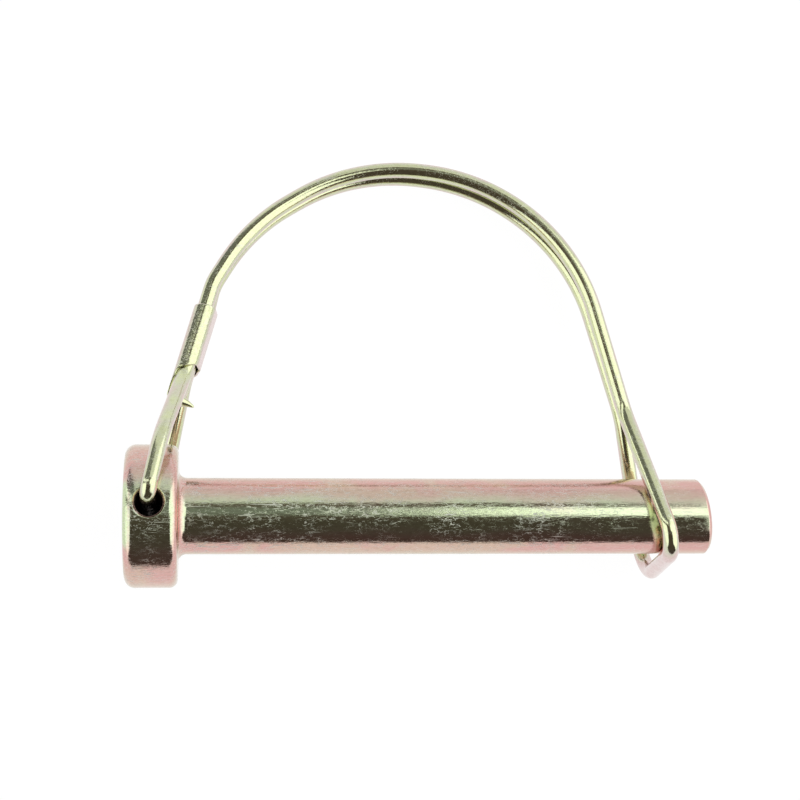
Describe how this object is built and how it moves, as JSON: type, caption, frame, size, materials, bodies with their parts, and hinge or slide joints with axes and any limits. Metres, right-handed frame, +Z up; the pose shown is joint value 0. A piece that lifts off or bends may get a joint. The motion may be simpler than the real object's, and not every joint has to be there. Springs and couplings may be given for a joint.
{
  "type": "lynch pin",
  "caption": "Headed round pin with a sprung wire bail that swings in the head's cross hole and snaps round the shank to lock it in place.",
  "frame": {"origin": "middle of the bearing face under the head, on the pin's axis", "axes": "+X along the pin's axis from the head to the tip, +Z up from the table the thing lies on, +Y level, to the side where the bail's arch lies; the bail's plane leans about 9 degrees from level"},
  "size_m": [0.0777, 0.0591, 0.0229],
  "materials": {
    "pin_plating": "yellow zinc plating, iridescent, satin",
    "wire_plating": "yellow zinc plating, iridescent, glossy",
    "sleeve_plating": "yellow zinc plating, mottled"
  },
  "bodies": {
    "pin": {"headed_pin": "pin_plating"},
    "bail": {"wire_bail": "wire_plating", "ferrule": "sleeve_plating"}
  },
  "joints": [
    {"name": "bail_hinge", "type": "hinge", "parent": "pin", "child": "bail", "pos_m": [-0.0036, 0, 0], "axis": [0, 0.1539, 0.9881], "range_deg": [0, 257], "deforming": ["wire_bail"]}
  ]
}
